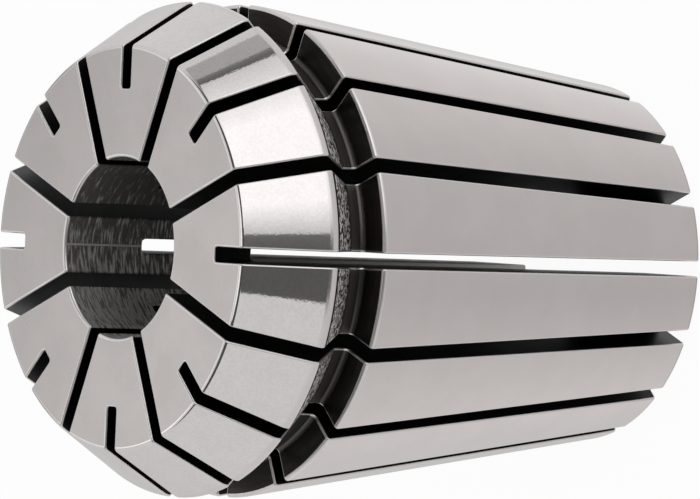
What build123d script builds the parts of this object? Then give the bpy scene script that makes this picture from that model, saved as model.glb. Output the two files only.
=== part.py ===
from build123d import *
import math
import os

# Spring collet for a 30-degree clamping nut and an 8-degree tapered socket.
# Millimetres. The collet stands on its rear face: +Z runs from the rear face
# to the nose face, and the origin is the centre of the rear face.

# ---- driving dimensions -----------------------------------------------------
overall_length = 40.0        # rear face to nose face
body_diameter = 33.0         # land behind the nose, and large end of the taper
bore_diameter = 12.0         # grips the tool shank

nose_half_angle = 30.0       # degrees, cone that the clamping nut presses on
nose_length = 5.3            # nose face to the front of the land
nose_face_round = 0.38       # radius between nose face and nose cone
nose_land_round = 1.0        # radius between nose cone and land
land_length = 0.4            # cylinder between nose cone and groove
land_edge_break = 0.08       # chamfer at the groove side of the land

groove_depth = 2.3           # from the land down to the floor that the nut's ring hooks over
groove_floor_width = 1.06    # from the foot of the flank to the plumb rear wall
groove_flank_angle = 40.0    # degrees from the axis, flank behind the land
groove_flank_round = 0.3     # radius at the foot of that flank
groove_wall_round = 0.35     # radius at the foot of the rear wall

taper_half_angle = 8.0       # degrees, cone that sits in the holder
taper_front_round = 0.25     # radius at the large end
taper_rear_round = 0.3       # radius at the rear face

bore_mouth_break = 0.15      # chamfer where the shank goes in
bore_lead_length = 1.7       # lead-in cone at the rear of the bore
bore_lead_angle = 15.0       # degrees from the axis

slots_per_end = 8            # slots sawn from each end, the two sets interleaved
slot_width = 1.0             # thickness of the saw
saw_diameter = 63.0          # its rim leaves the run-out in the webs
front_web_radius = 10.6      # on the nose face, where a slot sawn from the rear ends
front_web_length = 6.5       # from the nose face to where that slot enters the bore
rear_web_radius = 9.4        # on the rear face, where a slot sawn from the nose ends
rear_web_length = 5.0        # from the rear face to where that slot enters the bore

# ---- derived ----------------------------------------------------------------
body_radius = body_diameter / 2
bore_radius = bore_diameter / 2
groove_radius = body_radius - groove_depth
nose_face_radius = body_radius - nose_length * math.tan(math.radians(nose_half_angle))
land_front_z = overall_length - nose_length
land_rear_z = land_front_z - land_length
flank_foot_z = land_rear_z - groove_depth / math.tan(math.radians(groove_flank_angle))
taper_length = flank_foot_z - groove_floor_width
rear_radius = body_radius - taper_length * math.tan(math.radians(taper_half_angle))
lead_radius = bore_radius + bore_lead_length * math.tan(math.radians(bore_lead_angle))
slot_pitch = 360.0 / slots_per_end
saw_radius = saw_diameter / 2


def turned_body():
    """The collet before it is slotted: one turned and ground ring."""
    corners = [
        ((bore_radius, overall_length - bore_mouth_break), 0),
        ((bore_radius + bore_mouth_break, overall_length), 0),
        ((nose_face_radius, overall_length), nose_face_round),
        ((body_radius, land_front_z), nose_land_round),
        ((body_radius, land_rear_z + land_edge_break), 0),
        ((body_radius - land_edge_break, land_rear_z), 0),
        ((groove_radius, flank_foot_z), groove_flank_round),
        ((groove_radius, taper_length), groove_wall_round),
        ((body_radius, taper_length), taper_front_round),
        ((rear_radius, 0), taper_rear_round),
        ((lead_radius, 0), 0),
        ((bore_radius, bore_lead_length), 0),
    ]
    points = [Vector(r, z) for (r, z), _ in corners]
    section = Polygon(*points, align=None)
    for (r, z), radius in corners:
        if radius > 0:
            corner = section.vertices().sort_by_distance((r, z, 0))[0]
            section = fillet(corner, radius)
    return revolve(Plane.XZ * section, Axis.Z, 360)


def saw_centre(end_radius, web_length):
    """Radius and depth of the saw's centre where its rim passes both ends of the web.

    The rim crosses the end face at end_radius and the bore at web_length from that face.
    """
    drop = end_radius - bore_radius
    chord = math.hypot(web_length, drop)
    reach = math.sqrt(saw_radius**2 - (chord / 2) ** 2)
    depth = web_length / 2 + reach * drop / chord
    radius = (end_radius + bore_radius) / 2 + reach * web_length / chord
    return radius, depth


def slot_cutter(end_radius, web_length):
    """A slot that is open at z = 0 and stops short of the end face at overall_length."""
    radius, depth = saw_centre(end_radius, web_length)
    travel = overall_length - depth + saw_radius
    rim = Pos(radius, overall_length - depth) * Circle(saw_radius)
    run = Pos(radius, overall_length - depth - travel / 2) * Rectangle(2 * saw_radius, travel)
    return extrude(Plane.XZ * (rim + run), slot_width / 2, both=True)


body = turned_body()
from_rear = slot_cutter(front_web_radius, front_web_length)
from_nose = Pos(0, 0, overall_length) * (Rot(180, 0, 0) * slot_cutter(rear_web_radius, rear_web_length))

cutters = [Rot(0, 0, slot_pitch * i) * from_rear for i in range(slots_per_end)]
cutters += [Rot(0, 0, slot_pitch * (i + 0.5)) * from_nose for i in range(slots_per_end)]

collet = body - cutters
collet.label = "collet"

os.makedirs("parts", exist_ok=True)
export_step(collet, "parts/collet.step")
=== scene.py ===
import logging
import math
from dataclasses import dataclass, field
from enum import Enum
from functools import cached_property
from typing import Iterable, Sequence

import bpy
import numpy as np
from mathutils import Matrix, Vector


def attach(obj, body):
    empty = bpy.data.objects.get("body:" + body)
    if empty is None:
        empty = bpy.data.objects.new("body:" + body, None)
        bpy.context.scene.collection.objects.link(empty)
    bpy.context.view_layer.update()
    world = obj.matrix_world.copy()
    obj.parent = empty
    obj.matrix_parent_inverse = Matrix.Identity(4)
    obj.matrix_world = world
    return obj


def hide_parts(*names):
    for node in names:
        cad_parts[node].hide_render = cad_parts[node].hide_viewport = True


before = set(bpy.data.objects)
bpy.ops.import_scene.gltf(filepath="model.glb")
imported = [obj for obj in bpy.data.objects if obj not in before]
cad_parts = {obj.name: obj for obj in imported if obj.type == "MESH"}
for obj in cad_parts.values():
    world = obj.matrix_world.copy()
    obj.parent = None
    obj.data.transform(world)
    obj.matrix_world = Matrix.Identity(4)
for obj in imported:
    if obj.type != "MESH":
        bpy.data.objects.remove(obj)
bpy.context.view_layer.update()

LOG = logging.getLogger("collet")
MM = 0.001
MM_PER_METRE = 1000.0
IMAGE_WIDTH = 700
SENSOR_WIDTH = 36.0
ROOM_CENTRE = (0.0, 0.0, 0.02)
WHITE = (1.0, 1.0, 1.0, 1.0)
BLACK = (0.0, 0.0, 0.0, 1.0)

# Points of the skin that are closer than this, in millimetres, are one.
JOIN = 1e-3
# How far the turned lines move on with a step in radius, against the same step in height.
LINE_LEAN = 0.83
# Where the painted highlight, a thin bright line along the bore, starts to fade and where it ends, in
# millimetres off the middle.
GLINT_HALF = 0.05
GLINT_FADE = 0.09
# Height over which a bore's lines fade in, in millimetres, and their value where they are out.
CALM_RUN = 3.0
CALM_SHARE = 0.3
# Size of the lapping's clouds against its ripples.
CLOUD_SHARE = 0.16

Point = tuple[float, float, float]
Flat = tuple[float, float]
Row = tuple[list[Point], list[Point]]
Border = tuple[Point, Point, Point]
Colour = tuple[float, float, float]
Tree = bpy.types.NodeTree
Socket = bpy.types.NodeSocket
Sockets = bpy.types.bpy_prop_collection
Material = bpy.types.Material


class Zone(Enum):
    """The surfaces of the collet, each with its own finish."""

    FACE = 0
    CONE = 1
    LAND = 2
    FLANK = 3
    GROOVE = 4
    TAPER = 5
    BORE = 6
    SAWN = 7
    EDGE = 8
    FILLET = 9
    WALL = 10
    WEB = 11


# ---------------------------------------------------------------- the shape


def polar(radial: float, angle: float, height: float) -> Point:
    """A point, or a direction, at an angle around the axis."""
    return radial * math.cos(angle), radial * math.sin(angle), height


def leg(longest: float, other: float) -> float:
    """The second leg of a right triangle, from its longest side and its first leg."""
    return math.sqrt(longest**2 - other**2)


def spread(start: float, end: float, count: int) -> list[float]:
    """Values from start to end with a number of equal steps between them."""
    return [start + (end - start) * k / count for k in range(count + 1)]


@dataclass(frozen=True)
class Corner:
    """A corner of the turned outline and what follows it.

    Args:
        radius: Distance from the axis, in millimetres.
        height: Distance from the rear face, in millimetres.
        zone: Surface that runs from this corner to the next one.
        rounding: Radius of the corner itself, 0 for a sharp one.
        steps: Divisions of the straight that follows.
        arc_steps: Divisions of the rounding.
        arc_zone: Surface of the rounding, if it isn't that of the straight.
    """

    radius: float
    height: float
    zone: Zone
    rounding: float = 0.0
    steps: int = 1
    arc_steps: int = 6
    arc_zone: Zone | None = None


@dataclass(frozen=True)
class Station:
    """A point of the finished outline with its outward directions.

    Args:
        radius: Distance from the axis, in millimetres.
        height: Distance from the rear face, in millimetres.
        before: Outward direction of the surface that arrives here.
        after: Outward direction of the surface that leaves here.
        zone: Surface between this station and the next one.
    """

    radius: float
    height: float
    before: Flat
    after: Flat
    zone: Zone

    def inset(self, depth: float) -> Flat:
        """The point that lies a depth under both surfaces."""
        across = 1.0 + self.before[0] * self.after[0] + self.before[1] * self.after[1]
        return (
            self.radius - depth * (self.before[0] + self.after[0]) / across,
            self.height - depth * (self.before[1] + self.after[1]) / across,
        )

    def outward(self) -> Flat:
        """The mean outward direction, of length 1."""
        r, z = self.before[0] + self.after[0], self.before[1] + self.after[1]
        size = math.hypot(r, z)
        return r / size, z / size

    def row(self, angles: Sequence[float], out: Flat) -> Row:
        """The station at several angles around the axis.

        Args:
            angles: Angles in radians.
            out: Outward direction there, in the outline's own plane.

        Returns:
            The points and their outward directions.
        """
        points = [polar(self.radius, angle, self.height) for angle in angles]
        return points, [polar(out[0], angle, out[1]) for angle in angles]


def outline(corners: Sequence[Corner]) -> list[Station]:
    """Rounds the corners of a closed outline and divides its straights.

    Args:
        corners: Corners in order, with the material on the right hand.

    Returns:
        The stations in the same order, once around.
    """
    count = len(corners)
    spots = [np.array((c.radius, c.height)) for c in corners]
    ways = [spots[(i + 1) % count] - spots[i] for i in range(count)]
    ways = [w / np.linalg.norm(w) for w in ways]
    trims = []
    for i in range(count):
        turn = math.acos(max(-1.0, min(1.0, float(ways[i - 1] @ ways[i]))))
        trims.append(corners[i].rounding * math.tan(turn / 2))
    stations = []
    for i, corner in enumerate(corners):
        arrive, leave = ways[i - 1], ways[i]
        before = (-float(arrive[1]), float(arrive[0]))
        after = (-float(leave[1]), float(leave[0]))
        start = spots[i] + leave * trims[i]
        if corner.rounding > 0:
            first = spots[i] - arrive * trims[i]
            side = 1.0 if float(arrive[0] * leave[1] - arrive[1] * leave[0]) < 0 else -1.0
            centre = first - np.array(before) * corner.rounding * side
            low = math.atan2(before[1], before[0])
            high = math.atan2(after[1], after[0])
            swing = (high - low + math.pi) % (2 * math.pi) - math.pi
            for k in range(corner.arc_steps):
                angle = low + swing * k / corner.arc_steps
                out = (math.cos(angle), math.sin(angle))
                spot = centre + np.array(out) * corner.rounding * side
                zone = corner.arc_zone or corner.zone
                stations.append(Station(float(spot[0]), float(spot[1]), out, out, zone))
            before = after
        following = (i + 1) % count
        end = spots[following] - leave * trims[following]
        for k in range(corner.steps):
            spot = start + (end - start) * k / corner.steps
            arriving = before if k == 0 else after
            stations.append(Station(float(spot[0]), float(spot[1]), arriving, after, corner.zone))
    return stations


@dataclass(frozen=True)
class Rim:
    """A circle that the saw's teeth follow, seen along the slot's own plane.

    Args:
        radial: Distance of its centre from the axis.
        depth: Depth of its centre from the end face.
        radius: Its radius.
    """

    radial: float
    depth: float
    radius: float

    def at_depth(self, depth: float) -> float:
        """Angle on the rim at a depth from the face."""
        return math.asin((self.depth - depth) / self.radius)

    def at_radius(self, radius: float) -> float:
        """Angle on the rim at a distance from the axis."""
        return math.acos((self.radial - radius) / self.radius)

    def point(self, angle: float) -> Flat:
        """Distance from the axis and depth from the face at an angle on the rim."""
        return self.radial - self.radius * math.cos(angle), self.depth - self.radius * math.sin(angle)


@dataclass(frozen=True)
class SawRun:
    """The arc that the saw's rim leaves in a web.

    Args:
        end_radius: Where the arc meets the end face.
        web_length: Depth from that face at which the arc meets the bore.
        bore_radius: Radius of the bore.
        saw_radius: Radius of the saw.
        half_width: Half the thickness of the saw.
        tooth_round: Radius of its teeth's corners.
    """

    end_radius: float
    web_length: float
    bore_radius: float
    saw_radius: float
    half_width: float
    tooth_round: float

    def turn(self, lateral: float) -> float:
        """How far the floor has turned into the wall, from 0 to 1, at a distance from the middle plane."""
        return max(0.0, (lateral - self.half_width + self.tooth_round) / self.tooth_round)

    def rim(self, lateral: float) -> Rim:
        """The circle that the teeth follow off the middle plane by a distance."""
        drop = self.end_radius - self.bore_radius
        chord = math.hypot(self.web_length, drop)
        reach = leg(self.saw_radius, chord / 2)
        short = self.tooth_round * (1 - math.sqrt(max(0.0, 1 - self.turn(lateral) ** 2)))
        return Rim(
            (self.end_radius + self.bore_radius) / 2 + reach * self.web_length / chord,
            self.web_length / 2 + reach * drop / chord,
            self.saw_radius - short,
        )

    def face_end(self, lateral: float) -> float:
        """Distance from the axis at which the arc meets the face, off the middle plane by a distance."""
        rim = self.rim(lateral)
        return rim.point(rim.at_depth(0.0))[0]


@dataclass
class Skin:
    """Points, faces, corner directions and surfaces, gathered strip by strip."""

    points: list[Point] = field(default_factory=list)
    faces: list[list[int]] = field(default_factory=list)
    outward: list[list[Point]] = field(default_factory=list)
    zones: list[int] = field(default_factory=list)

    def face(self, points: Sequence[Point], outward: Sequence[Point], zone: Zone) -> None:
        """Adds one face and turns it to look outwards.

        Args:
            points: Its corners in order.
            outward: Outward direction at each corner.
            zone: Surface that it belongs to.
        """
        spots, ways = [np.array(p) for p in points], [tuple(w) for w in outward]
        area = sum((np.cross(a, b) for a, b in zip(spots, spots[1:] + spots[:1])), np.zeros(3))
        order = list(range(len(spots)))
        if float(area @ np.sum(np.array(ways), axis=0)) < 0:
            order.reverse()
        first = len(self.points)
        self.points.extend(tuple(point) for point in points)
        self.faces.append([first + k for k in order])
        self.outward.append([ways[k] for k in order])
        self.zones.append(zone.value)

    def strip(self, first: Row, second: Row, zone: Zone) -> None:
        """Adds the faces between two rows.

        Args:
            first: Points of one row and their outward directions.
            second: The same of the other row, as many.
            zone: Surface that they belong to.
        """
        (near, near_out), (far, far_out) = first, second
        for k in range(len(near) - 1):
            self.face(
                (near[k], near[k + 1], far[k + 1], far[k]),
                (near_out[k], near_out[k + 1], far_out[k + 1], far_out[k]),
                zone,
            )

    def strips(self, rows: Sequence[Row], zone: Zone) -> None:
        """Adds the faces between each row and the next."""
        for first, second in zip(rows, rows[1:]):
            self.strip(first, second, zone)


@dataclass(frozen=True)
class Slot:
    """Half of one saw slot, on the side of the unit sector.

    Args:
        angle: Direction of the slot's middle plane, in radians.
        side: 1 where the sector lies at larger angles, -1 where it lies at smaller ones.
        from_nose: True where the saw came in from the nose face.
        half_width: Half the thickness of the saw.
        edge: Size of the broken edge.
        run: The arc that the saw leaves in the web.
        length: Length of the collet.
        shares: Places between the middle plane and the wall, as shares of the half width.
        arc_steps: Divisions of the arc.
        edge_steps: Divisions across the broken edge.
    """

    angle: float
    side: int
    from_nose: bool
    half_width: float
    edge: float
    run: SawRun
    length: float
    shares: tuple[float, ...] = (1.0, 0.97, 0.89, 0.76, 0.6, 0.3, 0.0)
    arc_steps: int = 14
    edge_steps: int = 3

    def place(self, radial: float, lateral: float, height: float) -> Point:
        """Turns a distance along the slot's plane, one across it and a height into a point."""
        c, s, w = math.cos(self.angle), math.sin(self.angle), self.side * lateral
        return radial * c - w * s, radial * s + w * c, height

    def outward(self, station: Station) -> Point:
        """Mean outward direction of a station, in the slot's plane."""
        out_r, out_z = station.outward()
        return self.place(out_r, 0.0, out_z)

    def edge_angle(self, radius: float) -> float:
        """Direction of the sector's border at a radius."""
        return self.angle + self.side * math.asin((self.half_width + self.edge) / radius)

    def height_at(self, depth: float) -> float:
        """Height of a depth from the face at the slot's web."""
        return depth if self.from_nose else self.length - depth

    def face_station(self) -> float:
        """Radius on the end face at which the web's broken edge turns its corner."""
        return math.hypot(self.run.face_end(self.half_width) - self.edge, self.half_width + self.edge)

    def bore_station(self) -> float:
        """Height in the bore at which the web's broken edge turns its corner."""
        return self.height_at(self.bore_depth(self.half_width) - self.edge)

    def bore_depth(self, lateral: float) -> float:
        """Depth at which the arc meets the bore, off the middle plane by a distance."""
        rim = self.run.rim(lateral)
        return rim.point(rim.at_radius(leg(self.run.bore_radius, lateral)))[1]

    def laterals(self) -> list[float]:
        """Distances from the middle plane, from the wall inwards."""
        return [self.half_width * share for share in self.shares]

    def floor_out(self, angle: float, lateral: float = 0.0) -> Point:
        """Outward direction of the arc's floor at an angle on the rim, off the middle plane by a distance."""
        turn = min(1.0, self.run.turn(lateral))
        flat = math.sqrt(1 - turn**2)
        up = math.sin(angle) if self.from_nose else -math.sin(angle)
        return self.place(math.cos(angle) * flat, -turn, up * flat)

    def border(self, station: Station) -> Border:
        """The broken edge at a station: on the turned surface, at its sharp point and on the wall."""
        half, wide = self.half_width, self.half_width + self.edge
        low_r, low_z = station.inset(self.edge)
        return (
            self.place(leg(station.radius, wide), wide, station.height),
            self.place(leg(station.radius, half), half, station.height),
            self.place(leg(low_r, half), half, low_z),
        )

    def floor_angle(self, lateral: float, on_face: bool) -> float:
        """Angle on the rim where the floor starts behind its broken edge, on the face or in the bore."""
        rim = self.run.rim(lateral)
        if on_face:
            return rim.at_depth(self.edge)
        return rim.at_radius(leg(self.run.bore_radius, lateral)) + self.edge / self.run.saw_radius

    def web_end(self, on_face: bool) -> list[Border]:
        """The broken edge across an end of the web, from the wall to the middle plane.

        Args:
            on_face: True for the end on the end face, False for the one in the bore.

        Returns:
            The edge's three points at each distance from the middle plane.
        """
        rows = []
        for lateral in self.laterals():
            wide = lateral * (self.half_width + self.edge) / self.half_width
            if on_face:
                radius, depth = self.run.face_end(lateral), 0.0
                top, top_depth = radius - self.edge, 0.0
            else:
                radius, depth = leg(self.run.bore_radius, lateral), self.bore_depth(lateral)
                top, top_depth = leg(self.run.bore_radius, wide), depth - self.edge
            low, low_depth = self.run.rim(lateral).point(self.floor_angle(lateral, on_face))
            spots = ((top, wide, top_depth), (radius, lateral, depth), (low, lateral, low_depth))
            rows.append(tuple(self.place(r, w, self.height_at(d)) for r, w, d in spots))
        return rows

    def floor_rows(self) -> list[Row]:
        """Rows of the web's floor from the end face to the bore, each from the wall to the middle plane."""
        rows = []
        for k in range(self.arc_steps + 1):
            points, ways = [], []
            for lateral in self.laterals():
                start = self.floor_angle(lateral, True)
                angle = start + (self.floor_angle(lateral, False) - start) * k / self.arc_steps
                radius, depth = self.run.rim(lateral).point(angle)
                points.append(self.place(radius, lateral, self.height_at(depth)))
                ways.append(self.floor_out(angle, lateral))
            rows.append((points, ways))
        return rows


def rounded(row: Border, out: Point, wall_out: Point, steps: int) -> Row:
    """Points and outward directions across a broken edge.

    Args:
        row: Its point on the surface, its sharp point and its point on the wall.
        out: Outward direction of the surface.
        wall_out: Outward direction of the wall.
        steps: Divisions across the edge.

    Returns:
        The points from the surface to the wall, and their outward directions.
    """
    top, sharp, low = (np.array(p) for p in row)
    points, ways = [], []
    for k in range(steps + 1):
        angle = math.pi / 2 * k / steps
        spot = sharp + (top - sharp) * (1 - math.sin(angle)) + (low - sharp) * (1 - math.cos(angle))
        way = np.array(out) * math.cos(angle) + np.array(wall_out) * math.sin(angle)
        points.append(tuple(float(v) for v in spot))
        ways.append(tuple(float(v) for v in way / np.linalg.norm(way)))
    return points, ways


@dataclass(frozen=True)
class Cut:
    """A slot where it goes through the turned outline.

    Args:
        slot: The slot.
        stations: The outline.
        skin: The skin that its faces are added to.
    """

    slot: Slot
    stations: Sequence[Station]
    skin: Skin

    def nearest(self, radius: float, height: float) -> int:
        """The station that lies nearest to a radius and a height."""
        spots = [math.hypot(s.radius - radius, s.height - height) for s in self.stations]
        return spots.index(min(spots))

    @cached_property
    def ends(self) -> dict[int, bool]:
        """The stations at which the web's broken edge turns its corners, in the outline's order.

        Returns:
            Both stations, with True for the one on the end face.
        """
        face, bore = self.slot.height_at(0), self.slot.bore_station()
        on_face = self.nearest(self.slot.face_station(), face)
        in_bore = self.nearest(self.slot.run.bore_radius, bore)
        return {on_face: True, in_bore: False} if self.slot.from_nose else {in_bore: False, on_face: True}

    def web_row(self, index: int, out: Flat) -> Row:
        """Row of the turned surface across the web, from its border to the middle plane.

        Args:
            index: Number of the station.
            out: Outward direction there, in the outline's own plane.

        Returns:
            The points and their outward directions.
        """
        slot, station = self.slot, self.stations[index]
        edge = slot.edge_angle(station.radius) - slot.angle
        points, ways = station.row([slot.angle + edge * share for share in slot.shares], out)
        if index in self.ends:
            points = [border[0] for border in slot.web_end(self.ends[index])]
        return points, ways

    def web(self) -> None:
        """Adds the turned surface across the web."""
        index, last = self.ends
        while index != last:
            following = (index + 1) % len(self.stations)
            here, there = self.stations[index], self.stations[following]
            self.skin.strip(self.web_row(index, here.after), self.web_row(following, there.before), here.zone)
            index = following

    def edges(self) -> None:
        """Adds the slot's broken edges, its wall and the floor of its web."""
        slot, skin, ends = self.slot, self.skin, self.ends
        wall_out = slot.place(0.0, -1.0, 0.0)
        last, index = ends
        path, zones = [], []
        while True:
            station = self.stations[index]
            zones.append(Zone.BORE if station.zone is Zone.BORE else Zone.EDGE)
            row, side_out = slot.border(station), wall_out
            if index in ends:
                angle = slot.floor_angle(slot.half_width, ends[index])
                row, side_out = slot.web_end(ends[index])[0], slot.floor_out(angle, slot.half_width)
            path.append(rounded(row, slot.outward(station), side_out, slot.edge_steps))
            if index == last:
                break
            index = (index + 1) % len(self.stations)
        for zone, first, second in zip(zones, path, path[1:]):
            skin.strip(first, second, zone)
        for index, on_face in sorted(ends.items(), key=lambda end: not end[1]):
            rows = []
            for row, lateral in zip(slot.web_end(on_face), slot.laterals()):
                floor_out = slot.floor_out(slot.floor_angle(lateral, on_face), lateral)
                rows.append(rounded(row, slot.outward(self.stations[index]), floor_out, slot.edge_steps))
            skin.strips(rows, Zone.EDGE if on_face else Zone.BORE)
        floor_rows = slot.floor_rows()
        skin.strips(floor_rows, Zone.WEB)
        wall = [points[-1] for points, _ in path]
        inner = [points[0] for points, _ in floor_rows]
        if not slot.from_nose:
            inner.reverse()
        wall += inner[1:-1] if math.dist(wall[-1], inner[0]) < JOIN else inner[-2:0:-1]
        skin.face(wall, [wall_out] * len(wall), Zone.SAWN)


@dataclass
class ColletShell:
    """The whole collet, as one closed skin.

    All sizes are in millimetres, and angles in degrees from the axis. flank_shade is the share of the
    groove's flank, from the land on, that takes the dark wall finish: partly painted shade under the land's
    rear edge and partly a dark burr.
    """

    length: float = 40.0
    body_radius: float = 16.5
    bore_radius: float = 6.0
    nose_angle: float = 30.0
    nose_length: float = 5.3
    nose_round: float = 0.38
    land_round: float = 1.0
    land_length: float = 0.4
    land_break: float = 0.08
    groove_depth: float = 2.3
    groove_floor: float = 1.06
    flank_angle: float = 40.0
    flank_shade: float = 0.12
    flank_round: float = 0.3
    wall_round: float = 0.35
    taper_angle: float = 8.0
    taper_front_round: float = 0.25
    taper_rear_round: float = 0.3
    mouth_round: float = 0.2
    lead_length: float = 1.7
    lead_angle: float = 15.0
    lead_round: float = 0.16
    slots_per_end: int = 8
    slot_width: float = 1.0
    slot_edge: float = 0.13
    saw_radius: float = 31.5
    tooth_round: float = 0.2
    front_web_radius: float = 10.6
    front_web_length: float = 6.5
    rear_web_radius: float = 9.4
    rear_web_length: float = 5.0
    columns: int = 9

    def slot(self, from_nose: bool) -> Slot:
        """One half slot of the unit sector.

        Args:
            from_nose: True for the slot sawn from the nose, which ends in a web at the rear.

        Returns:
            The slot.
        """
        half = self.slot_width / 2
        web_radius = self.rear_web_radius if from_nose else self.front_web_radius
        web_length = self.rear_web_length if from_nose else self.front_web_length
        run = SawRun(web_radius, web_length, self.bore_radius, self.saw_radius, half, self.tooth_round)
        angle = math.pi / self.slots_per_end if from_nose else 0.0
        return Slot(angle, -1 if from_nose else 1, from_nose, half, self.slot_edge, run, self.length)

    def corners(self) -> list[Corner]:
        """The turned outline, from the middle of the bore around by the nose."""
        nose_tan = math.tan(math.radians(self.nose_angle))
        body, bore = self.body_radius, self.bore_radius
        floor_r = body - self.groove_depth
        land_front = self.length - self.nose_length
        land_rear = land_front - self.land_length
        flank_foot = land_rear - self.groove_depth / math.tan(math.radians(self.flank_angle))
        taper_top = flank_foot - self.groove_floor
        rear_r = body - taper_top * math.tan(math.radians(self.taper_angle))
        lead_r = bore + self.lead_length * math.tan(math.radians(self.lead_angle))
        rear, nose = self.slot(False), self.slot(True)
        return [
            Corner(bore, self.length / 2, Zone.BORE, steps=5),
            Corner(bore, rear.bore_station(), Zone.BORE, steps=3),
            Corner(bore, self.length, Zone.FACE, self.mouth_round, 3, arc_zone=Zone.EDGE),
            Corner(rear.face_station(), self.length, Zone.FACE, steps=3),
            Corner(body - self.nose_length * nose_tan, self.length, Zone.CONE, self.nose_round, 5, 8),
            Corner(body, land_front, Zone.LAND, self.land_round, 1, 6),
            Corner(body, land_rear + self.land_break, Zone.EDGE),
            # The top of the flank takes the dark wall finish: partly painted shade under the land's rear
            # edge, partly a dark burr.
            Corner(body - self.land_break, land_rear, Zone.WALL),
            Corner(
                body - self.land_break - self.flank_shade * (self.groove_depth - self.land_break),
                land_rear - self.flank_shade * (land_rear - flank_foot),
                Zone.FLANK,
                steps=5,
            ),
            Corner(floor_r, flank_foot, Zone.GROOVE, self.flank_round, 1, 5),
            Corner(floor_r, taper_top, Zone.WALL, self.wall_round, 3, 7, Zone.FILLET),
            Corner(body, taper_top, Zone.TAPER, self.taper_front_round, 14, 7, Zone.EDGE),
            Corner(rear_r, 0.0, Zone.FACE, self.taper_rear_round, 2, 7),
            Corner(nose.face_station(), 0.0, Zone.FACE, steps=2),
            Corner(lead_r, 0.0, Zone.BORE, self.lead_round, 2, 4, Zone.EDGE),
            Corner(bore, self.lead_length, Zone.BORE, steps=2),
            Corner(bore, nose.bore_station(), Zone.BORE, steps=6),
        ]

    def sector(self) -> Skin:
        """The unit sector, from the middle plane of a rear slot to that of a nose slot."""
        skin = Skin()
        stations = outline(self.corners())
        rear, nose = self.slot(False), self.slot(True)
        columns = [
            spread(rear.edge_angle(station.radius), nose.edge_angle(station.radius), self.columns)
            for station in stations
        ]
        for i, here in enumerate(stations):
            following = (i + 1) % len(stations)
            there = stations[following]
            first, second = here.row(columns[i], here.after), there.row(columns[following], there.before)
            skin.strip(first, second, here.zone)
        for slot in (rear, nose):
            cut = Cut(slot, stations, skin)
            cut.web()
            cut.edges()
        return skin

    def build(self) -> bpy.types.Object:
        """Repeats the sector around the axis and makes the mesh.

        Returns:
            The collet, in metres and at the origin.
        """
        skin = self.sector()
        points, zones = np.array(skin.points), skin.zones
        corner_out = [np.array(w) for w in skin.outward]
        all_points, all_faces, all_out, all_zones = [], [], [], []
        for k in range(self.slots_per_end):
            turn = 2 * math.pi * k / self.slots_per_end
            spin = np.array(
                ((math.cos(turn), math.sin(turn), 0), (-math.sin(turn), math.cos(turn), 0), (0, 0, 1))
            )
            for mirror in (1.0, -1.0):
                flip = np.diag((1.0, mirror, 1.0))
                first = len(points) * len(all_points)
                all_points.append(points @ flip @ spin)
                for face, ways in zip(skin.faces, corner_out):
                    ring = [first + v for v in face]
                    ways = ways @ flip @ spin
                    if mirror < 0:
                        ring.reverse()
                        ways = ways[::-1]
                    all_faces.append(ring)
                    all_out.append(ways)
                all_zones.extend(zones)
        joined = np.concatenate(all_points)
        _, keep, place = np.unique(np.round(joined, 5), axis=0, return_index=True, return_inverse=True)
        place = place.reshape(-1)
        mesh = bpy.data.meshes.new("collet_shell")
        mesh.from_pydata(
            [tuple(p) for p in joined[keep] * MM], [], [[int(place[v]) for v in face] for face in all_faces]
        )
        mesh.polygons.foreach_set("material_index", all_zones)
        mesh.polygons.foreach_set("use_smooth", [True] * len(all_faces))
        mesh.update()
        mesh.normals_split_custom_set(np.concatenate(all_out).tolist())
        shell = new_object("collet_shell", mesh)
        LOG.info("shell: %d points, %d faces", len(mesh.vertices), len(mesh.polygons))
        return shell


# ---------------------------------------------------------------- the finishes


class Nodes:
    """Places and links the nodes of one tree."""

    def __init__(self, tree: Tree) -> None:
        """Starts on an empty tree.

        Args:
            tree: The node tree that is filled.
        """
        self.tree = tree
        tree.nodes.clear()

    def add(self, kind: str, inputs: dict | None = None, **settings: object) -> bpy.types.Node:
        """Adds a node.

        Args:
            kind: Blender's name of the node type.
            inputs: Values or output sockets for its inputs, by name or number.
            settings: Properties of the node.

        Returns:
            The node.
        """
        node = self.tree.nodes.new(kind)
        for name, value in settings.items():
            setattr(node, name, value)
        for name, value in (inputs or {}).items():
            socket = node.inputs[name]
            if isinstance(value, Socket):
                self.tree.links.new(value, socket)
            else:
                socket.default_value = value
        return node

    def math(self, operation: str, *values: object, clamp: bool = False) -> Socket:
        """Adds a Math node and returns its output."""
        inputs = dict(enumerate(values))
        return self.add("ShaderNodeMath", inputs, operation=operation, use_clamp=clamp).outputs[0]

    def times(self, first: object, second: object) -> Socket:
        """Adds a product and returns its output."""
        return self.math("MULTIPLY", first, second)

    def remap(
        self, value: object, low: float, high: float, to_low: float = 0.0, to_high: float = 1.0
    ) -> Socket:
        """Adds a smooth Map Range node and returns its output."""
        inputs = {"Value": value, "From Min": low, "From Max": high, "To Min": to_low, "To Max": to_high}
        return self.add("ShaderNodeMapRange", inputs, interpolation_type="SMOOTHSTEP").outputs[0]

    def noise(self, place: object, scale: object, detail: float, roughness: float) -> Socket:
        """Adds a Noise Texture node and returns its value."""
        inputs = {"Vector": place, "Scale": scale, "Detail": detail, "Roughness": roughness}
        return self.add("ShaderNodeTexNoise", inputs).outputs[0]

    def blend(self, factor: object, first: object, second: object) -> Socket:
        """Adds a colour mix and returns its output."""
        inputs = {0: factor, 6: first, 7: second}
        return self.add("ShaderNodeMix", inputs, data_type="RGBA").outputs[2]


def new_object(label: str, data: bpy.types.ID) -> bpy.types.Object:
    """Makes an object and puts it into the scene."""
    thing = bpy.data.objects.new(label, data)
    bpy.context.scene.collection.objects.link(thing)
    return thing


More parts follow.
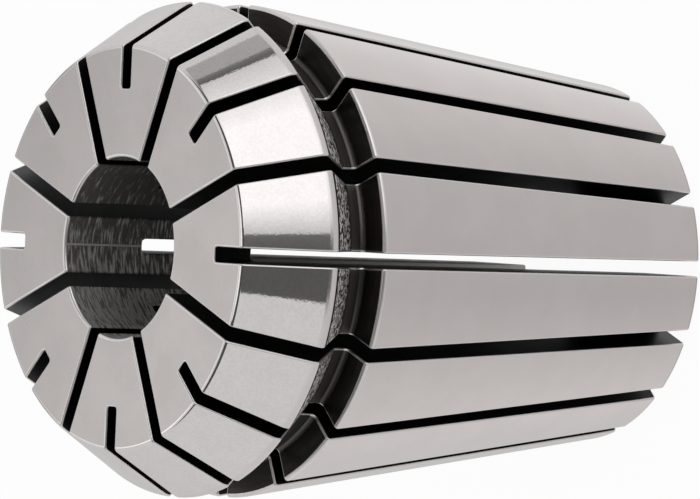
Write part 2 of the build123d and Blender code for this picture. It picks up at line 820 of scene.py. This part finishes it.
def new_material(label: str) -> tuple[Material, Nodes]:
    """Makes an empty material, and the helper that fills it."""
    material = bpy.data.materials.new(label)
    material.use_nodes = True
    return material, Nodes(material.node_tree)


def new_group(
    name: str, inputs: dict[str, float], outputs: Iterable[str]
) -> tuple[Tree, Nodes, Sockets, Socket]:
    """Makes an empty shader node group with named number sockets.

    Args:
        name: Name of the group.
        inputs: Names and default values of its inputs.
        outputs: Names of its outputs.

    Returns:
        The group, the helper that fills it, its inputs as seen inside and the place on the collet in metres.
    """
    tree = bpy.data.node_groups.new(name, "ShaderNodeTree")
    nodes = Nodes(tree)
    for label, value in inputs.items():
        socket = tree.interface.new_socket(name=label, in_out="INPUT", socket_type="NodeSocketFloat")
        socket.default_value = value
    for label in outputs:
        tree.interface.new_socket(name=label, in_out="OUTPUT", socket_type="NodeSocketFloat")
    entry = nodes.add("NodeGroupInput").outputs
    return tree, nodes, entry, nodes.add("ShaderNodeTexCoord").outputs["Object"]


def machining_marks() -> Tree:
    """Lines that a turning or grinding pass leaves around the axis, with long soft breaks.

    Returns:
        The group. Pitch is lines per millimetre, Breaks how often they start anew around the axis. Height is
        in millimetres, Side runs from -1 to 1 across the part, Painted Glint is a painted highlight: one thin
        bright line along the axis on the +Y side.
    """
    outputs = ["Lines", "Height", "Side", "Seam"]
    tree, nodes, entry, place = new_group("machining_marks", {"Pitch": 8.0, "Breaks": 3.0}, outputs)
    parts = nodes.add("ShaderNodeSeparateXYZ", {0: place})
    x, y, z = parts.outputs[0], parts.outputs[1], parts.outputs[2]
    flat = nodes.add("ShaderNodeCombineXYZ", {0: x, 1: y, 2: 0.0}).outputs[0]
    radius = nodes.add("ShaderNodeVectorMath", {0: flat}, operation="LENGTH").outputs["Value"]
    round_way = nodes.add("ShaderNodeVectorMath", {0: flat}, operation="NORMALIZE").outputs["Vector"]
    turned = nodes.add("ShaderNodeSeparateXYZ", {0: round_way})
    along = nodes.times(nodes.math("ADD", z, nodes.times(radius, LINE_LEAN)), MM_PER_METRE)
    lines_at = nodes.add(
        "ShaderNodeCombineXYZ",
        {
            0: nodes.times(turned.outputs[0], entry["Breaks"]),
            1: nodes.times(turned.outputs[1], entry["Breaks"]),
            2: nodes.times(along, entry["Pitch"]),
        },
    ).outputs[0]
    lines = nodes.noise(lines_at, 1.0, 3.0, 0.6)
    height = nodes.times(z, MM_PER_METRE)
    # Mask of the painted highlight: a thin line through x = 0, on the +Y side.
    off_middle = nodes.times(nodes.math("ABSOLUTE", x), MM_PER_METRE)
    thin = nodes.remap(off_middle, GLINT_HALF, GLINT_FADE, 1.0, 0.0)
    seam = nodes.times(thin, nodes.remap(y, 0.0, MM))
    nodes.add("NodeGroupOutput", {"Lines": lines, "Height": height, "Side": turned.outputs[0], "Seam": seam})
    return tree


def torn_grain() -> Tree:
    """Coarse grain of a torn or blasted surface.

    Returns:
        The group. Size is grains per millimetre, Contrast how hard their borders are.
    """
    tree, nodes, entry, place = new_group("torn_grain", {"Size": 6.0, "Contrast": 3.0}, ["Grain"])
    scale = nodes.times(entry["Size"], MM_PER_METRE)
    noise = nodes.noise(place, scale, 2.5, 0.65)
    centred = nodes.times(nodes.math("SUBTRACT", noise, 0.5), entry["Contrast"])
    grain = nodes.math("ADD", centred, 0.5, clamp=True)
    nodes.add("NodeGroupOutput", {"Grain": grain})
    return tree


def lapping_ripple() -> Tree:
    """Small unevenness that lapping and polishing leave.

    Returns:
        The group. Size is ripples per millimetre. Ripple is a height, Cloud a broad unevenness of tone.
    """
    tree, nodes, entry, place = new_group("lapping_ripple", {"Size": 3.0}, ["Ripple", "Cloud"])
    scale = nodes.times(entry["Size"], MM_PER_METRE)
    ripple = nodes.noise(place, scale, 2.0, 0.5)
    cloud = nodes.noise(place, nodes.times(scale, CLOUD_SHARE), 3.0, 0.6)
    nodes.add("NodeGroupOutput", {"Ripple": ripple, "Cloud": cloud})
    return tree


def rgba(colour: Colour) -> tuple[float, float, float, float]:
    """A colour with full cover."""
    return (*colour, 1.0)


@dataclass(frozen=True)
class Steel:
    """Bare steel between two colours.

    Args:
        label: Name of the material.
        dark: Colour of the duller parts, such as lines, clouds and pits.
        light: Colour of the brighter parts.
    """

    label: str
    dark: Colour
    light: Colour

    def start(self, group: Tree, **sizes: float) -> tuple[Material, Nodes, Sockets]:
        """Makes the material with its effect in it.

        Args:
            group: The group of the effect.
            sizes: Values of the group's inputs.

        Returns:
            The material, the helper that fills it and the effect's outputs.
        """
        material, nodes = new_material(self.label)
        effect = nodes.add("ShaderNodeGroup", node_tree=group)
        for name, value in sizes.items():
            effect.inputs[name].default_value = value
        return material, nodes, effect.outputs

    def shade(
        self, nodes: Nodes, colour: object, roughness: object, height: object = None, relief: float = 0.0
    ) -> None:
        """Ends the material with its shader.

        Args:
            nodes: The helper that fills the material.
            colour: Colour of the steel.
            roughness: Roughness of the steel.
            height: Height of the surface, from 0 to 1.
            relief: What a height of 1 stands for, in millimetres, or 0 for a flat surface.
        """
        inputs = {"Base Color": colour, "Roughness": roughness, "Metallic": 1.0}
        if relief > 0:
            bump = nodes.add("ShaderNodeBump", {"Strength": 1.0, "Distance": relief * MM, "Height": height})
            inputs["Normal"] = bump.outputs[0]
        shader = nodes.add("ShaderNodeBsdfPrincipled", inputs)
        nodes.add("ShaderNodeOutputMaterial", {"Surface": shader.outputs[0]})

    def tone(self, nodes: Nodes, share: object) -> Socket:
        """Adds the mix of the two colours, dark where the share is 0."""
        return nodes.blend(share, rgba(self.dark), rgba(self.light))


@dataclass(frozen=True)
class MarkedSteel(Steel):
    """Bare steel with the lines of a machining pass, dark in the lines.

    Args:
        smooth: Roughness between the lines.
        rough: Roughness in the lines.
        pitch: Lines per millimetre.
        breaks: How often the lines start anew around the axis.
        low: Value of the lines at which the dark colour is full.
        high: Value of the lines at which the light colour is full.
        relief: Depth of the lines for light, in millimetres.
        calm: Height under which the lines fade out, in millimetres, or 0 for lines all over.
        painted_side_light: Painted light and shade: how much lighter the tone is on the -X side of the part,
            which faces the soft box, and darker on the +X side.
        seam: How strong the painted highlight is: a thin bright line along the axis on the +Y side, which
            stands in for a lit slot edge.
    """

    smooth: float
    rough: float
    pitch: float
    breaks: float
    low: float = 0.3
    high: float = 0.7
    relief: float = 0.0
    calm: float = 0.0
    painted_side_light: float = 0.0
    seam: float = 0.0

    def build(self, marks: Tree) -> Material:
        """Makes the material.

        Args:
            marks: The group of machining marks.

        Returns:
            The material.
        """
        material, nodes, marked = self.start(marks, Pitch=self.pitch, Breaks=self.breaks)
        lines = marked["Lines"]
        # Painted light and shade: the tone is made lighter on the -X side, which faces the soft box, and
        # darker on the +X side.
        if self.painted_side_light > 0:
            lines = nodes.math("SUBTRACT", lines, nodes.times(marked["Side"], self.painted_side_light))
        lines = nodes.remap(lines, self.low, self.high)
        if self.calm > 0:
            lined = nodes.remap(marked["Height"], self.calm - CALM_RUN, self.calm)
            above = nodes.times(nodes.math("SUBTRACT", lines, CALM_SHARE), lined)
            lines = nodes.math("ADD", above, CALM_SHARE)
        # Painted highlight: a thin, bright and smooth line along the bore on the +Y side, at the light
        # colour.
        if self.seam > 0:
            lines = nodes.math("MAXIMUM", lines, nodes.times(marked["Seam"], self.seam))
        roughness = nodes.remap(lines, 0.0, 1.0, self.rough, self.smooth)
        self.shade(nodes, self.tone(nodes, lines), roughness, marked["Lines"], self.relief)
        return material


@dataclass(frozen=True)
class LappedSteel(Steel):
    """Bright steel, lapped or polished, with a faint unevenness.

    Args:
        smooth: Roughness of the brighter clouds.
        rough: Roughness of the duller ones.
        size: Ripples per millimetre.
        relief: Height of the ripples for light, in millimetres.
        mottle: Share by which the finest unevenness dulls the colour.
    """

    smooth: float
    rough: float
    size: float
    relief: float
    mottle: float = 0.0

    def build(self, ripple: Tree) -> Material:
        """Makes the material.

        Args:
            ripple: The group of lapping ripples.

        Returns:
            The material.
        """
        material, nodes, marked = self.start(ripple, Size=self.size)
        cloud = nodes.remap(marked["Cloud"], 0.3, 0.7)
        colour = self.tone(nodes, cloud)
        if self.mottle > 0:
            spots = nodes.remap(marked["Ripple"], 0.4, 0.6, 0.0, self.mottle)
            colour = nodes.blend(spots, colour, BLACK)
        roughness = nodes.remap(cloud, 0.0, 1.0, self.rough, self.smooth)
        self.shade(nodes, colour, roughness, marked["Ripple"], self.relief)
        return material


@dataclass(frozen=True)
class TornSteel(Steel):
    """Steel with a torn grain, as a hard turning pass leaves it.

    Args:
        roughness: Roughness.
        size: Grains per millimetre.
        contrast: How hard the borders of the grains are.
        relief: Depth of the grain for light, in millimetres.
    """

    roughness: float
    size: float
    contrast: float
    relief: float

    def build(self, grain: Tree) -> Material:
        """Makes the material.

        Args:
            grain: The group of torn grain.

        Returns:
            The material.
        """
        material, nodes, marked = self.start(grain, Size=self.size, Contrast=self.contrast)
        share = marked["Grain"]
        self.shade(nodes, self.tone(nodes, share), self.roughness, share, self.relief)
        return material


@dataclass(frozen=True)
class Finishes:
    """The finish of every surface of the collet, each named as its zone is."""

    face: LappedSteel = LappedSteel(
        "lapped_face", (0.535, 0.503, 0.491), (0.561, 0.527, 0.515), 0.25, 0.28, 1.6, 0.0006
    )
    cone: LappedSteel = LappedSteel(
        "polished_cone", (0.86, 0.82, 0.81), (0.89, 0.85, 0.84), 0.045, 0.06, 5.0, 0.0014, 0.045
    )
    land: LappedSteel = LappedSteel(
        "ground_land", (0.81, 0.765, 0.75), (0.84, 0.795, 0.78), 0.20, 0.24, 3.2, 0.0008
    )
    flank: TornSteel = TornSteel("torn_flank", (0.035, 0.032, 0.03), (1.0, 0.95, 0.92), 0.62, 3.6, 13.0, 0.06)
    groove: MarkedSteel = MarkedSteel(
        "dark_groove", (0.10, 0.088, 0.082), (0.14, 0.125, 0.117), 0.45, 0.55, 3.0, 2.0
    )
    fillet: MarkedSteel = MarkedSteel(
        "worn_fillet", (0.08, 0.076, 0.073), (0.12, 0.115, 0.11), 0.26, 0.32, 3.0, 2.0
    )
    wall: MarkedSteel = MarkedSteel(
        "dark_wall", (0.035, 0.033, 0.032), (0.06, 0.057, 0.055), 0.30, 0.40, 3.0, 4.0
    )
    taper: LappedSteel = LappedSteel(
        "ground_taper", (0.785, 0.733, 0.718), (0.815, 0.762, 0.747), 0.12, 0.15, 1.8, 0.0005
    )
    # The honed bore carries painted light and shade: lighter on the -X side, which faces the soft box, darker
    # on the +X side, and a painted highlight line along the +Y side.
    bore: MarkedSteel = MarkedSteel(
        "honed_bore", (0.24, 0.23, 0.222), (1.0, 0.97, 0.94), 0.50, 0.66, 6.0, 5.0,
        low=0.44, high=0.66, relief=0.024, calm=31.0, painted_side_light=0.12, seam=1.0,
    )
    # Sawn steel painted near black: painted shade of the deep, narrow slots.
    sawn: MarkedSteel = MarkedSteel(
        "sawn_slot_painted_shade", (0.028, 0.028, 0.027), (0.032, 0.032, 0.031), 0.36, 0.40, 0.5, 1.0
    )
    # Sawn steel painted near black: painted shade of the deep, narrow web floor.
    web: MarkedSteel = MarkedSteel(
        "sawn_web_painted_shade", (0.010, 0.011, 0.010), (0.014, 0.015, 0.014), 0.75, 0.80, 2.0, 1.0
    )
    edge: LappedSteel = LappedSteel(
        "broken_edge", (0.84, 0.80, 0.79), (0.90, 0.86, 0.85), 0.28, 0.36, 3.0, 0.0008
    )

    def build(self) -> list[Material]:
        """Makes the materials in the order of the zones.

        Returns:
            One material for each zone.
        """
        effects = {MarkedSteel: machining_marks(), TornSteel: torn_grain(), LappedSteel: lapping_ripple()}
        steels = [getattr(self, zone.name.lower()) for zone in Zone]
        return [steel.build(effects[type(steel)]) for steel in steels]


# ---------------------------------------------------------------- the studio


def around(azimuth: float, elevation: float, distance: float) -> Point:
    """A place in the room.

    Args:
        azimuth: Angle around the axis in degrees, 0 at the front and 90 to the right.
        elevation: Angle over the floor, in degrees.
        distance: Distance from the collet, in metres.

    Returns:
        The place, in metres.
    """
    a, e = math.radians(azimuth), math.radians(elevation)
    return (
        distance * math.sin(a) * math.cos(e),
        -distance * math.cos(a) * math.cos(e),
        distance * math.sin(e) + ROOM_CENTRE[2],
    )


@dataclass(frozen=True)
class Panel:
    """Something flat that faces the collet.

    Args:
        label: Its name.
        azimuth: Angle around the axis in degrees, 0 at the front.
        elevation: Angle over the floor, in degrees.
        distance: Distance from the collet, in metres.
        size: Its width and height, in metres.
    """

    label: str
    azimuth: float
    elevation: float
    distance: float
    size: Flat

    def spot(self) -> Vector:
        """Its place in the room."""
        return Vector(around(self.azimuth, self.elevation, self.distance))


@dataclass(frozen=True)
class Lamp(Panel):
    """A soft box. The surround stands for it in the gloss of the steel.

    Args:
        glow: Brightness of its cloth, where 1 is white.
    """

    glow: float

    def build(self) -> None:
        """Hangs the lamp so that it faces the collet."""
        data = bpy.data.lights.new(self.label, "AREA")
        data.shape = "RECTANGLE"
        data.size, data.size_y = self.size
        data.energy = self.glow * math.pi * self.size[0] * self.size[1]
        lamp = new_object(self.label, data)
        lamp.location = self.spot()
        way = Vector(ROOM_CENTRE) - lamp.location
        lamp.rotation_euler = way.to_track_quat("-Z", "Y").to_euler()
        lamp.visible_glossy = False


def glowing(
    label: str, points: Sequence[Point], faces: Sequence[Sequence[int]], tones: Sequence[float]
) -> None:
    """Makes a staged surface that shows only in the gloss of the steel.

    Args:
        label: Name of the object, its mesh and its material.
        points: Points of the mesh, in metres.
        faces: Faces of the mesh.
        tones: Brightness at each corner of each face, in order.
    """
    mesh = bpy.data.meshes.new(label)
    mesh.from_pydata(points, [], faces)
    tone = mesh.color_attributes.new("tone", "FLOAT_COLOR", "CORNER")
    tone.data.foreach_set("color", [v for shade in tones for v in rgba((shade,) * 3)])
    thing = new_object(label, mesh)
    for ray in ("camera", "diffuse", "transmission", "shadow"):
        setattr(thing, f"visible_{ray}", False)
    material, nodes = new_material(label)
    material.cycles.emission_sampling = "NONE"
    shade = nodes.add("ShaderNodeVertexColor", layer_name="tone")
    glow = nodes.add("ShaderNodeEmission", {"Color": shade.outputs[0], "Strength": 1.0})
    nodes.add("ShaderNodeOutputMaterial", {"Surface": glow.outputs[0]})
    mesh.materials.append(material)


@dataclass(frozen=True)
class Card(Panel):
    """A flat card that stands near the collet, shaded from corner to corner.

    Args:
        tones: Brightness at its corners: low at the smaller azimuth, low at the larger, high at the larger
            and high at the smaller.
    """

    tones: tuple[float, float, float, float]

    def build(self) -> None:
        """Sets the card up so that it faces the collet."""
        spot = self.spot()
        a = math.radians(self.azimuth)
        right = Vector((math.cos(a), math.sin(a), 0.0)) * self.size[0] / 2
        outward = (spot - Vector(ROOM_CENTRE)).normalized()
        up = right.normalized().cross(outward) * self.size[1] / 2
        if up.z < 0:
            up = -up
        points = [tuple(spot + right * x + up * y) for x, y in ((-1, -1), (1, -1), (1, 1), (-1, 1))]
        glowing(self.label, points, [(0, 1, 2, 3)], self.tones)


@dataclass(frozen=True)
class Band:
    """A ring of the surround.

    Args:
        low: Its lower elevation, in degrees.
        high: Its upper elevation, in degrees.
        tones: Azimuths in rising order with the brightness there. Two equal azimuths make a hard border.
    """

    low: float
    high: float
    tones: tuple[Flat, ...]


@dataclass(frozen=True)
class Surround:
    """The room as the steel mirrors it: walls, dark and bright screens, ceiling and floor.

    Args:
        bands: Its rings.
        radius: Its distance from the collet, in metres.
        step: Greatest size of its facets, in degrees.
    """

    bands: tuple[Band, ...]
    radius: float = 1.5
    step: float = 5.0

    def build(self) -> None:
        """Builds the rings as one mesh."""
        points, faces, tones = [], [], []
        for band in self.bands:
            rows = spread(band.low, band.high, max(1, math.ceil((band.high - band.low) / self.step)))
            for (start, first), (end, second) in zip(band.tones, band.tones[1:]):
                if start == end:
                    continue
                count = math.ceil((end - start) / self.step)
                sides, shades = spread(start, end, count), spread(first, second, count)
                for left, right, dim, lit in zip(sides, sides[1:], shades, shades[1:]):
                    for low, high in zip(rows, rows[1:]):
                        n = len(points)
                        corners = ((left, low), (right, low), (right, high), (left, high))
                        points.extend(around(a, e, self.radius) for a, e in corners)
                        faces.append((n, n + 1, n + 2, n + 3))
                        tones.extend((dim, lit, lit, dim))
        glowing("surround", points, faces, tones)


FLOOR_TONES = ((-180.0, 0.55), (-110.0, 0.70), (-20.0, 0.50), (55.0, 0.55), (150.0, 0.80), (180.0, 0.55))
FAR_TONES = ((-180.0, 0.55), (-110.0, 0.65), (0.0, 0.55), (140.0, 0.70), (180.0, 0.55))
WALL_TONES = (
    (-180.0, 0.65), (-20.0, 0.65), (-20.0, 0.10), (0.0, 0.10), (10.0, 0.15), (10.0, 0.60), (25.0, 1.15),
    (65.0, 1.15), (94.0, 0.65), (94.0, 0.10), (98.0, 0.20), (98.0, 0.40), (107.0, 0.40), (107.0, 0.65),
    (180.0, 0.65),
)
SHOULDER_TONES = (
    (-180.0, 0.65), (-125.0, 0.65), (-125.0, 0.07), (15.0, 0.07), (15.0, 0.90), (30.0, 1.10), (60.0, 1.10),
    (90.0, 0.75), (90.0, 0.07), (125.0, 0.07), (125.0, 0.65), (180.0, 0.65),
)
ROOF_TONES = ((-180.0, 0.65), (-125.0, 0.65), (-125.0, 0.07), (125.0, 0.07), (125.0, 0.65), (180.0, 0.65))
TOP_TONES = ((-180.0, 1.0), (180.0, 1.0))


@dataclass
class Studio:
    """A pale floor, an evenly lit room, a soft box, what the steel mirrors and the camera."""

    floor_size: float = 6.0
    floor_shade: float = 0.85
    floor_share: float = 0.95
    world_shade: float = 0.65
    camera_spot: Point = (11.8757, -511.5951, 419.9330)
    camera_right: Point = (0.044007, -0.614140, -0.787969)
    camera_up: Point = (0.998873, 0.041084, 0.023766)
    focal_pixels: float = 9627.4

    def build_floor(self) -> None:
        """Lays the floor, which shows white behind the collet and keeps a soft shadow."""
        half = self.floor_size / 2
        mesh = bpy.data.meshes.new("floor")
        corners = [(-half, -half, 0), (half, -half, 0), (half, half, 0), (-half, half, 0)]
        mesh.from_pydata(corners, [], [(0, 1, 2, 3)])
        floor = new_object("floor", mesh)
        material, nodes = new_material("pale_floor")
        light = nodes.add("ShaderNodeLightPath")
        clear = nodes.math("MAXIMUM", light.outputs["Is Camera Ray"], light.outputs["Is Transmission Ray"])
        seen = nodes.math("MAXIMUM", clear, light.outputs["Is Glossy Ray"])
        plain = nodes.add("ShaderNodeBsdfDiffuse", {"Color": rgba((self.floor_shade,) * 3)})
        glow = nodes.add("ShaderNodeEmission", {"Color": WHITE, "Strength": 1.0})
        mixed = nodes.add(
            "ShaderNodeMixShader",
            {0: nodes.times(seen, self.floor_share), 1: plain.outputs[0], 2: glow.outputs[0]},
        )
        nodes.add("ShaderNodeOutputMaterial", {"Surface": mixed.outputs[0]})
        mesh.materials.append(material)
        floor.visible_glossy = False

    def build_world(self) -> None:
        """Fills the room with even light, which shows white straight behind the collet."""
        world = bpy.data.worlds.new("room")
        world.use_nodes = True
        nodes = Nodes(world.node_tree)
        light = nodes.add("ShaderNodeLightPath")
        lift = nodes.times(light.outputs["Is Camera Ray"], 1.0 - self.world_shade)
        strength = nodes.math("ADD", lift, self.world_shade)
        room = nodes.add("ShaderNodeBackground", {"Color": WHITE, "Strength": strength})
        nodes.add("ShaderNodeOutputWorld", {"Surface": room.outputs[0]})
        bpy.context.scene.world = world

    def build_lamps(self) -> None:
        """Hangs the soft box and sets up what the steel mirrors."""
        Lamp("soft_box", 49.0, 18.0, 0.60, (0.78, 0.60), 1.1).build()
        Surround(
            (
                Band(-90.0, -30.0, FLOOR_TONES),
                Band(-30.0, 0.0, FAR_TONES),
                Band(0.0, 38.0, WALL_TONES),
                Band(38.0, 46.0, SHOULDER_TONES),
                Band(46.0, 74.0, ROOF_TONES),
                Band(74.0, 90.0, TOP_TONES),
            )
        ).build()
        Card("face_card", 180.0, 37.0, 0.09, (0.07, 0.07), (0.0, 0.05, 1.34, 0.92)).build()

    def build_camera(self) -> None:
        """Sets the camera on the collet."""
        data = bpy.data.cameras.new("camera")
        data.sensor_fit = "HORIZONTAL"
        data.sensor_width = SENSOR_WIDTH
        data.lens = self.focal_pixels * SENSOR_WIDTH / IMAGE_WIDTH
        data.clip_start, data.clip_end = 0.01, 50.0
        camera = new_object("camera", data)
        right, up = Vector(self.camera_right).normalized(), Vector(self.camera_up).normalized()
        back = right.cross(up)
        turn = Matrix((right, up, back)).transposed().to_4x4()
        camera.matrix_world = Matrix.Translation(Vector(self.camera_spot) * MM) @ turn
        bpy.context.scene.camera = camera

    def build(self) -> None:
        """Builds the whole studio."""
        bpy.context.scene.view_settings.view_transform = "Standard"
        self.build_world()
        self.build_floor()
        self.build_lamps()
        self.build_camera()


def main() -> None:
    """Builds the collet, dresses it and sets up the studio."""
    logging.basicConfig(level=logging.INFO)
    shell = ColletShell().build()
    for material in Finishes().build():
        shell.data.materials.append(material)
    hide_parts("collet")
    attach(shell, "root")
    Studio().build()
    LOG.info("studio: floor, lamp, surround and camera")


if __name__ == "__main__":
    main()
